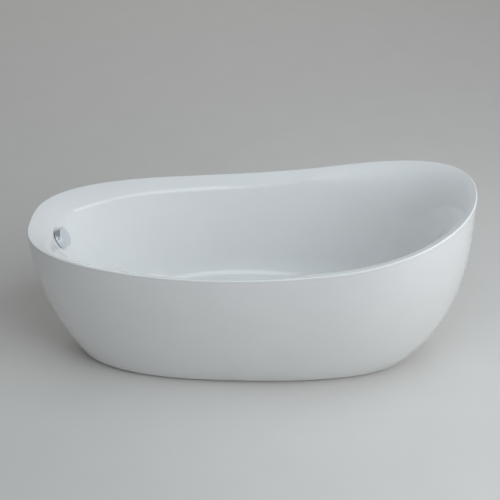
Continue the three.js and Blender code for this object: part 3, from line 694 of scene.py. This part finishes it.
def drain_body():
    """Cup under the drain with its flange, neck, overflow inlet, cable stop and lever bearing."""
    neck, outer, inner, flange = 20, 30, 24.6, 40
    cup_bottom, cup_floor, flange_under = 70, 76, BODY_TOP - 4
    cup = turned([
        [NECK_BORE, NECK_BOTTOM], [neck, NECK_BOTTOM], [neck, cup_bottom], [outer, cup_bottom],
        [outer, flange_under], [flange, flange_under], [flange, BODY_TOP], [inner, BODY_TOP],
        [inner, cup_floor], [NECK_BORE, cup_floor],
    ], 96, 0.9)
    inlet = moved(rod(SPIGOT_RADIUS, 27, 62), z=INLET_Z, turn=-90, about="Y")
    inlet_bore = moved(rod(SPIGOT_BORE, 20, 70), z=INLET_Z, turn=-90, about="Y")
    stop = block((-16, 26, CABLE_Z - 5), (-8, 40, CABLE_Z + 5))
    stop_hole = moved(rod(SMALL_BORE, -30, 0, 32), y=CABLE_Y, z=CABLE_Z, turn=90, about="Y")
    bearing = moved(rod(SMALL_BORE, -40, 40, 32), x=LEVER_ARM, z=LEVER_Z, turn=90, about="X")
    return cut(join(cup, inlet, stop), inlet_bore, stop_hole, bearing)


def stopper():
    """Low dome over a plug that carries the seal and the stem's socket."""
    dome_base, dome_height, dome_reach = 146.6, 4.1, 32.5
    plug, rim_bottom = 19, 145.9
    dome = [
        [radius, dome_base + dome_height * math.sqrt(1 - (radius / dome_reach) ** 2)]
        for radius in np.linspace(0, 30, 10)
    ]
    return turned([
        *dome, [31, 147.2], [30.4, rim_bottom], [plug, rim_bottom], [plug, PLUG_BOTTOM],
        [STEM_BORE, PLUG_BOTTOM], [STEM_BORE, SOCKET_TOP], [0, SOCKET_TOP],
    ], 160, 0.5)


def lift_lever():
    """Arm on the lever shaft whose round end lies under the stopper's stem."""
    onto_y = {"turn": 90, "about": "X"}
    arm = join(
        moved(rod(4, -5, 5, 48), **onto_y),
        moved(rod(3, -4, 4, 48), x=-LEVER_ARM, **onto_y),
        block((-LEVER_ARM, -3, -2.5), (0, 3, 2.5), 0.6),
    )
    arm = cut(arm, moved(rod(SMALL_BORE, -9, 9, 32), **onto_y))
    return moved(arm, x=LEVER_ARM, z=LEVER_Z, turn=LEVER_REST, about="Y")


def lever_shaft():
    return moved(rod(SHAFT_RADIUS, -40, 24, 40), x=LEVER_ARM, z=LEVER_Z, turn=90, about="X")


def cable_pulley():
    """Grooved wheel on the lever shaft that the cable turns."""
    hub, web, groove, rim = 5, 14, 16, 18
    wheel = turned([
        [SMALL_BORE, 32], [hub, 32], [hub, 34.5], [web, 34.5], [web, 33], [rim, 33], [groove, CABLE_Y],
        [rim, 39], [web, 39], [web, 37.5], [hub, 37.5], [hub, 40], [SMALL_BORE, 40],
    ], 96)
    return moved(wheel, x=LEVER_ARM, z=LEVER_Z, turn=-90, about="X")


def trap_bowl():
    """Shallow bowl with a neck up to the waste body and an outlet to the side."""
    radius, neck, wall = 44, 20, 3
    bottom, top, neck_top = 8, 44, NECK_BOTTOM - CLEARANCE
    inside, floor, ceiling = radius - wall, bottom + wall, top - wall
    bowl = turned([
        [0, bottom], [radius - 6, bottom], [radius, bottom + 6], [radius, top], [neck, top],
        [neck, neck_top], [NECK_BORE, neck_top], [NECK_BORE, ceiling], [inside, ceiling],
        [inside, floor + 4], [inside - 4, floor], [0, floor],
    ], 128, 1.2)
    outlet = moved(rod(15, 40, 95), z=OUTLET_Z, turn=90, about="Y")
    return cut(join(bowl, outlet), moved(rod(12, 34, 100), z=OUTLET_Z, turn=90, about="Y"))


def trap_nut():
    """Hand nut with six grip ribs."""
    bottom, top = 46, 60
    ribs = [moved(block((25, -3, bottom), (29, 3, top), 0.8), turn=turn) for turn in range(0, 360, 60)]
    return join(ring(20.4, 27, bottom, top, easing=0.8), *ribs)


# Cradle and feet ------------------------------------------------------


def square_tube(node, along):
    """Rounded steel tube that fills a CAD node's box, open at both ends along X or Y."""
    low, high = (np.array(corner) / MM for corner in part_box(node))
    middle, size = (low + high) / 2, high - low
    axis = "XY".index(along)
    width, height, half_length = size[1 - axis], size[2], size[axis] / 2
    outside = rounded_rectangle(width, height, 4)
    inside = rounded_rectangle(width - 2 * TUBE_WALL, height - 2 * TUBE_WALL, 2)
    sections = []
    for (a, b), (c, d) in zip(outside, inside):
        loop = np.array([
            [-half_length, a, b], [half_length, a, b], [half_length, c, d], [-half_length, c, d],
        ])
        sections.append(loop if axis == 0 else loop[:, [1, 0, 2]])
    return moved(skin(np.array(sections)), *middle)


def crossbar(node, feet):
    """Cross tube with a threaded boss inside it over each foot."""
    low, high = (np.array(corner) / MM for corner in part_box(node))
    middle = (low[0] + high[0]) / 2
    bosses = [moved(rod(11, low[2] + 1, low[2] + 16), x=middle, y=y) for y in feet]
    bores = [moved(rod(STUD_BORE, low[2] - 5, low[2] + 20, 48), x=middle, y=y) for y in feet]
    return cut(join(square_tube(node, "Y"), *bosses), *bores)


def skirt_bracket(node):
    """Bent angle bracket that fills its CAD node's box, with two bolt holes in its upright leg."""
    low, high = (np.array(corner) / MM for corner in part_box(node))
    thick = 3
    reach, rise = high[1] - low[1], high[2] - low[2]
    corners = [[0, rise], [0, 0], [reach, 0], [reach, thick], [thick, thick], [thick, rise]]
    bend = eased(corners, 3.5, closed=True)
    bracket = prism([(y, z) for y, z in bend], 0, high[0] - low[0], 0.3)
    onto_x = Matrix(((0, 0, 1, 0), (1, 0, 0, 0), (0, 1, 0, 0), (0, 0, 0, 1)))
    bracket.data.transform(onto_x)
    holes = [moved(rod(3.2, -2, 6, 32), x=x, z=rise * 0.75, turn=-90, about="X") for x in (9, 27)]
    bracket = cut(bracket, *holes)
    if high[1] > 0:
        return moved(bracket, *low)
    return moved(bracket, high[0], high[1], low[2], turn=180)


def floor_board(node):
    """Board with rounded corners that fills its CAD node's box."""
    low, high = (np.array(corner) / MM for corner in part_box(node))
    outline = rounded_rectangle(high[0] - low[0], high[1] - low[1], 30, 12)
    middle = (low + high) / 2
    return moved(prism(outline, low[2], high[2], 0.8), x=middle[0], y=middle[1])


def foot_pad():
    """Rubber-faced pad with a grooved tread under it."""
    return turned([
        [0, 0.8], [6, 0.8], [6.6, 0], [11, 0], [11.6, 0.8], [15, 0.8], [15.6, 0], [23.5, 0], [25, 1.5],
        [25, 5], [12, 9], [12, PAD_TOP], [0, PAD_TOP],
    ], 96, 0.8)


def foot_stud():
    """M12 stud with a real helical thread and the hexagon that turns it."""
    bottom, top, thread_start = PAD_TOP + CLEARANCE, 86.5, 26
    pitch, thread_depth = 1.75, 0.9
    per_pitch, sides = 4, 32
    angles = np.linspace(0, 2 * math.pi, sides, endpoint=False)
    heights = np.linspace(bottom, top, int((top - bottom) / pitch * per_pitch))
    phase = (heights[None, :] / pitch - angles[:, None] / (2 * math.pi)) % 1
    fade = np.clip((top - 1 - heights) / 2, 0, 1) * np.clip((heights - thread_start) / 2, 0, 1)
    radius = STUD_RADIUS - thread_depth * fade[None, :] * (1 - np.abs(2 * phase - 1))
    sections = np.stack([
        radius * np.cos(angles)[:, None], radius * np.sin(angles)[:, None],
        np.broadcast_to(heights, radius.shape),
    ], axis=-1)
    stud = skin(sections, [[0, 0, bottom], [0, 0, top]])
    return join(stud, prism(hexagon(10), bottom + 2, bottom + 10, 0.5))


def locknut(radius, bottom, top, bore):
    """Hexagon nut, its radius measured to the corners."""
    return cut(prism(hexagon(radius), bottom, top, 0.5), rod(bore, bottom - 5, top + 5, 48))


# Materials ------------------------------------------------------------


def new_material(name, sockets):
    """A new material whose shader has the given values set."""
    material = bpy.data.materials.new(name)
    material.use_nodes = True
    for socket, value in sockets.items():
        shader_input(material, socket).default_value = value
    return material


def shader_input(material, socket):
    return material.node_tree.nodes["Principled BSDF"].inputs[socket]


def link(material, output, target):
    material.node_tree.links.new(output, target)


def add_node(material, kind, inputs, **settings):
    """A new node of a material or world, with its settings made and its inputs linked or set."""
    node = material.node_tree.nodes.new(kind)
    for setting, value in settings.items():
        setattr(node, setting, value)
    for socket, value in inputs.items():
        if isinstance(value, bpy.types.NodeSocket):
            link(material, value, node.inputs[socket])
        else:
            node.inputs[socket].default_value = value
    return node


def place(material, stretch=(1, 1, 1)):
    """Position on the object, in metres, scaled along each axis."""
    where = add_node(material, "ShaderNodeTexCoord", {}).outputs["Object"]
    return add_node(material, "ShaderNodeMapping", {"Vector": where, "Scale": stretch}).outputs["Vector"]


def noise(material, size, detail, stretch=(1, 1, 1)):
    """Cloudy noise whose features are about size millimetres across."""
    inputs = {"Vector": place(material, stretch), "Scale": 1 / (size * MM), "Detail": detail}
    return add_node(material, "ShaderNodeTexNoise", inputs).outputs["Fac"]


def cells(material, size, output="Distance"):
    """Cell pattern whose cells are about size millimetres across."""
    inputs = {"Vector": place(material), "Scale": 1 / (size * MM)}
    return add_node(material, "ShaderNodeTexVoronoi", inputs).outputs[output]


def spread(material, factor, low, high):
    """Stretches the middle of a pattern, where most of it lies, over low to high."""
    inputs = {"Value": factor, "From Min": 0.3, "From Max": 0.7, "To Min": low, "To Max": high}
    return add_node(material, "ShaderNodeMapRange", inputs).outputs["Result"]


def tinted(material, factor, dark, light):
    """Colours between dark and light by a pattern from 0 to 1."""
    ramp = add_node(material, "ShaderNodeValToRGB", {"Fac": factor})
    for element, colour in zip(ramp.color_ramp.elements, (dark, light)):
        element.color = (*colour, 1)
    link(material, ramp.outputs["Color"], shader_input(material, "Base Color"))


def rough(material, factor, low, high):
    """Roughness between low and high by a pattern."""
    link(material, spread(material, factor, low, high), shader_input(material, "Roughness"))


def bumpy(material, *layers):
    """Stacks bump layers, each a pattern and its depth in millimetres, onto the shader's normal."""
    normal = None
    for pattern, depth in layers:
        inputs = {"Height": pattern, "Distance": depth * MM, "Strength": 1.0}
        if normal is not None:
            inputs["Normal"] = normal
        normal = add_node(material, "ShaderNodeBump", inputs).outputs["Normal"]
    link(material, normal, shader_input(material, "Normal"))


def acrylic(name, dark, light):
    """Polished white acrylic with faint clouding, hazier patches and a very slight forming ripple."""
    material = new_material(name, {"IOR": 1.49})
    tinted(material, noise(material, 160, 3), dark, light)
    rough(material, noise(material, 45, 4), 0.05, 0.1)
    bumpy(material, (noise(material, 130, 1), 0.015), (noise(material, 2.5, 1), 0.0006))
    return material


def chrome():
    """Softly polished chrome with a bluish cast, wiping haze and faint water marks."""
    material = new_material("chrome", {"Metallic": 1.0})
    tinted(material, noise(material, 18, 3), (0.78, 0.81, 0.84), (0.83, 0.86, 0.89))
    rough(material, noise(material, 9, 5), 0.15, 0.24)
    bumpy(material, (noise(material, 14, 2), 0.01), (noise(material, 0.8, 1), 0.0004))
    return material


def zinc_steel():
    """Bright zinc plating with a faint spangle and darker passivated patches."""
    material = new_material("zinc_steel", {"Metallic": 1.0})
    tinted(material, noise(material, 7, 5), (0.42, 0.43, 0.42), (0.66, 0.67, 0.67))
    rough(material, noise(material, 2.5, 4), 0.28, 0.48)
    bumpy(material, (cells(material, 1.6), 0.01))
    return material


def powder_coat():
    """Dark powder coat with its orange-peel texture and a few paler rubbed spots."""
    material = new_material("powder_coat", {"IOR": 1.5})
    tinted(material, noise(material, 24, 6), (0.028, 0.03, 0.033), (0.06, 0.064, 0.068))
    rough(material, noise(material, 12, 4), 0.42, 0.62)
    bumpy(material, (noise(material, 1.1, 2), 0.06))
    return material


def chipboard():
    """Pressed wood chips: pale and dark flakes with a rough face."""
    material = new_material("chipboard", {})
    flakes = cells(material, 5, "Color")
    tinted(material, flakes, (0.36, 0.24, 0.12), (0.68, 0.52, 0.33))
    rough(material, noise(material, 4, 4), 0.75, 0.92)
    bumpy(material, (cells(material, 5), 0.25), (noise(material, 1.5, 3), 0.1))
    return material


def rubber():
    """Dull black rubber with a dusty bloom and a fine grain."""
    material = new_material("rubber", {})
    tinted(material, noise(material, 9, 5), (0.012, 0.012, 0.013), (0.035, 0.034, 0.033))
    rough(material, noise(material, 5, 4), 0.68, 0.88)
    bumpy(material, (noise(material, 0.5, 3), 0.03))
    return material


def moulded_plastic(name, dark, light, grain):
    """Moulded plastic with slight flow marks and a fine grain."""
    material = new_material(name, {"IOR": 1.5})
    tinted(material, noise(material, 30, 4, (1, 1, 3)), dark, light)
    rough(material, noise(material, 10, 4), 0.34, 0.5)
    bumpy(material, (noise(material, grain, 2), 0.02), (noise(material, 25, 1), 0.1))
    return material


def brass():
    """Drawn brass with tarnish and fine lines around it."""
    material = new_material("brass", {"Metallic": 1.0})
    tinted(material, noise(material, 6, 5), (0.40, 0.27, 0.10), (0.74, 0.55, 0.26))
    rough(material, noise(material, 3, 4), 0.2, 0.42)
    bumpy(material, (noise(material, 1.5, 3, (1, 1, 6)), 0.01))
    return material


MATERIALS = {
    "basin_acrylic": acrylic("basin_acrylic", (0.80, 0.805, 0.805), (0.84, 0.842, 0.84)),
    "skirt_acrylic": acrylic("skirt_acrylic", (0.79, 0.795, 0.80), (0.83, 0.834, 0.835)),
    "chrome": chrome(),
    "steel": zinc_steel(),
    "cradle_paint": powder_coat(),
    "board": chipboard(),
    "rubber": rubber(),
    "black_plastic": moulded_plastic("black_plastic", (0.012, 0.013, 0.014), (0.03, 0.031, 0.033), 0.6),
    "grey_plastic": moulded_plastic("grey_plastic", (0.36, 0.37, 0.38), (0.47, 0.48, 0.49), 0.8),
    "brass": brass(),
}

# Showing the pieces ---------------------------------------------------


def smooth(obj, angle=32):
    """Smooth faces, with edges sharper than the angle kept and large faces ruling the normals."""
    obj.data.polygons.foreach_set("use_smooth", [True] * len(obj.data.polygons))
    obj.data.set_sharp_from_angle(angle=math.radians(angle))
    normals = obj.modifiers.new("face_weighted_normals", "WEIGHTED_NORMAL")
    normals.keep_sharp = True


def show(obj, node, slot):
    """Gives a piece its finish, and lets it ride and stand in for its CAD node."""
    obj.name = f"{node}_piece"
    obj.data.name = obj.name
    obj.data.materials.clear()
    obj.data.materials.append(MATERIALS[slot])
    smooth(obj)
    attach(obj, BODY_OF[node])
    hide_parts(node)


def show_overflow():
    show(overflow_knob(), "overflow_knob", "chrome")
    show(knob_grub_screw(), "knob_grub_screw", "steel")
    show(knob_spindle(), "knob_spindle", "brass")
    show(cable_spool(), "cable_spool", "black_plastic")
    show(overflow_faceplate(), "overflow_faceplate", "chrome")
    inner_gasket = ring(25, 32, WALL_SEAT + CLEARANCE, 1.7)
    show(on_overflow(inner_gasket), "overflow_gasket_inner", "rubber")
    outer_gasket = ring(25, 34, -11.8, WALL_PAD["back"] - CLEARANCE)
    show(on_overflow(outer_gasket), "overflow_gasket_outer", "rubber")
    show(overflow_screw(1), "overflow_screw_front", "steel")
    show(overflow_screw(-1), "overflow_screw_rear", "steel")
    show(overflow_body(), "overflow_body", "black_plastic")
    show(overflow_hose(), "overflow_hose", "grey_plastic")
    show(control_cable(), "control_cable", "black_plastic")
    show(moved(hose_clamp(), x=SPIGOT_X, z=425), "hose_clamp_upper", "steel")
    lower_clamp = moved(hose_clamp(), x=INLET_END + 12, z=INLET_Z, turn=90, about="Y")
    show(lower_clamp, "hose_clamp_lower", "steel")


def show_waste():
    upper_gap = (FLOOR_TOP - RECESS_DEPTH + CLEARANCE, FLANGE_UNDER - CLEARANCE)
    lower_gap = (BODY_TOP + CLEARANCE, FLOOR_TOP - DRAIN_PAD["thick"] - CLEARANCE)
    shapes = {
        "drain_flange": (drain_flange(), "chrome"),
        "drain_gasket_upper": (ring(27, 35, *upper_gap), "rubber"),
        "drain_gasket_lower": (ring(27, 38, *lower_gap), "rubber"),
        "drain_body": (drain_body(), "black_plastic"),
        "stopper": (stopper(), "chrome"),
        "stopper_seal": (ring(19.3, 24.3, 144, 145.6), "rubber"),
        "stopper_stem": (rod(STEM_RADIUS, STEM_BOTTOM, SOCKET_TOP - CLEARANCE), "brass"),
        "stopper_locknut": (locknut(7, 133.5, PLUG_BOTTOM - CLEARANCE, STEM_BORE), "brass"),
        "lift_lever": (lift_lever(), "grey_plastic"),
        "lever_shaft": (lever_shaft(), "brass"),
        "cable_pulley": (cable_pulley(), "steel"),
        "drain_tailpiece": (ring(14.5, NECK_BORE - CLEARANCE, 20, 75), "grey_plastic"),
        "trap_bowl": (trap_bowl(), "black_plastic"),
        "trap_nut": (trap_nut(), "grey_plastic"),
    }
    for node, (shape, slot) in shapes.items():
        show(moved(shape, x=DRAIN_X), node, slot)


def show_cradle():
    for side in ("front", "rear"):
        show(square_tube(f"frame_rail_{side}", "X"), f"frame_rail_{side}", "cradle_paint")
    show(floor_board("floor_board"), "floor_board", "board")
    foot = 0
    for bar, (x, feet) in CROSSBARS.items():
        show(crossbar(f"crossbar_{bar}", feet), f"crossbar_{bar}", "cradle_paint")
        for side in ("front", "rear"):
            node = f"skirt_bracket_{bar}_{side}"
            show(skirt_bracket(node), node, "steel")
        for y in feet:
            foot += 1
            show(moved(foot_pad(), x=x, y=y), f"foot_pad_{foot}", "rubber")
            show(moved(foot_stud(), x=x, y=y), f"foot_stud_{foot}", "steel")
            nut = locknut(11, NUT_TOP - NUT_HEIGHT, NUT_TOP, STUD_BORE)
            show(moved(nut, x=x, y=y), f"foot_locknut_{foot}", "steel")


# Camera, light and floor ----------------------------------------------


def aimed(obj, position, target):
    """Puts a camera or light at a position, in metres, looking at the target."""
    obj.location = position
    obj.rotation_euler = (Vector(target) - Vector(position)).to_track_quat("-Z", "Y").to_euler()


def make_camera(azimuth=3.06, elevation=33.14, distance=4.672, target=(0.0038, 0.0, 0.4564), lens=86.4):
    """Camera placed by its angles, in degrees, and its distance from the target, in metres."""
    camera = bpy.data.objects.new("camera", bpy.data.cameras.new("camera"))
    bpy.context.scene.collection.objects.link(camera)
    turn, rise = math.radians(azimuth), math.radians(elevation)
    back = Vector((math.sin(turn) * math.cos(rise), -math.cos(turn) * math.cos(rise), math.sin(rise)))
    aimed(camera, Vector(target) + back * distance, target)
    camera.data.lens = lens
    camera.data.sensor_width = 36
    bpy.context.scene.camera = camera


def soft_light(name, position, target, width, height, power, colour=(1, 1, 1), mirrored=True):
    """Rectangular lamp, in metres and watts, that polished pieces mirror or don't."""
    lamp = bpy.data.lights.new(name, "AREA")
    lamp.shape = "RECTANGLE"
    lamp.size, lamp.size_y = width, height
    lamp.energy = power
    lamp.color = colour
    obj = bpy.data.objects.new(name, lamp)
    obj.visible_glossy = mirrored
    bpy.context.scene.collection.objects.link(obj)
    aimed(obj, position, target)


def make_surroundings():
    """Dim light from all round, brightest where a pale room returns the window's light."""
    towards = (-0.97, -0.24, 0)
    dim, bright = (0.24, 0.24, 0.24), (0.275, 0.285, 0.29)
    world = bpy.data.worlds.new("studio")
    bpy.context.scene.world = world
    world.use_nodes = True
    direction = add_node(world, "ShaderNodeTexCoord", {}).outputs["Generated"]
    along = add_node(world, "ShaderNodeVectorMath", {0: direction, 1: towards}, operation="DOT_PRODUCT")
    across = add_node(world, "ShaderNodeMapRange", {"Value": along.outputs["Value"], "From Min": -1})
    ramp = add_node(world, "ShaderNodeValToRGB", {"Fac": across.outputs["Result"]})
    for element, colour in zip(ramp.color_ramp.elements, (dim, bright)):
        element.color = (*colour, 1)
    link(world, ramp.outputs["Color"], world.node_tree.nodes["Background"].inputs["Color"])


def make_floor():
    """Pale matt floor, thirty metres wide, under the bath's feet."""
    half = 15000
    corners = [(-half, -half, 0), (half, -half, 0), (half, half, 0), (-half, half, 0)]
    floor = mesh_object(corners, [(0, 1, 2, 3)])
    floor.name = "studio_floor"
    finish = new_material("studio_floor", {})
    tinted(finish, noise(finish, 220, 5), (0.68, 0.665, 0.645), (0.72, 0.705, 0.685))
    rough(finish, noise(finish, 60, 4), 0.6, 0.75)
    floor.data.materials.append(finish)


def make_studio():
    """Pale floor and surroundings, a large window to the right of the camera, a skylight, a rear fill."""
    make_floor()
    make_surroundings()
    soft_light("window", (2.95, -2.2, 2.5), (-0.4, 0.1, 0.45), 2.8, 2.8, 77, (0.93, 0.965, 0.99))
    soft_light("skylight", (0.9, -0.9, 3.2), (0.1, -0.1, 0.5), 3.2, 1.3, 34, (0.80, 0.93, 1.0))
    soft_light("rear_fill", (-0.5, 5.0, 3.6), (0.0, 0.0, 0.3), 5.0, 3.0, 45, mirrored=False)
    bpy.context.scene.view_settings.view_transform = "Standard"


show(basin(), "basin", "basin_acrylic")
show(skirt_shell(), "skirt", "skirt_acrylic")
show_overflow()
show_waste()
show_cradle()
make_studio()
make_camera()
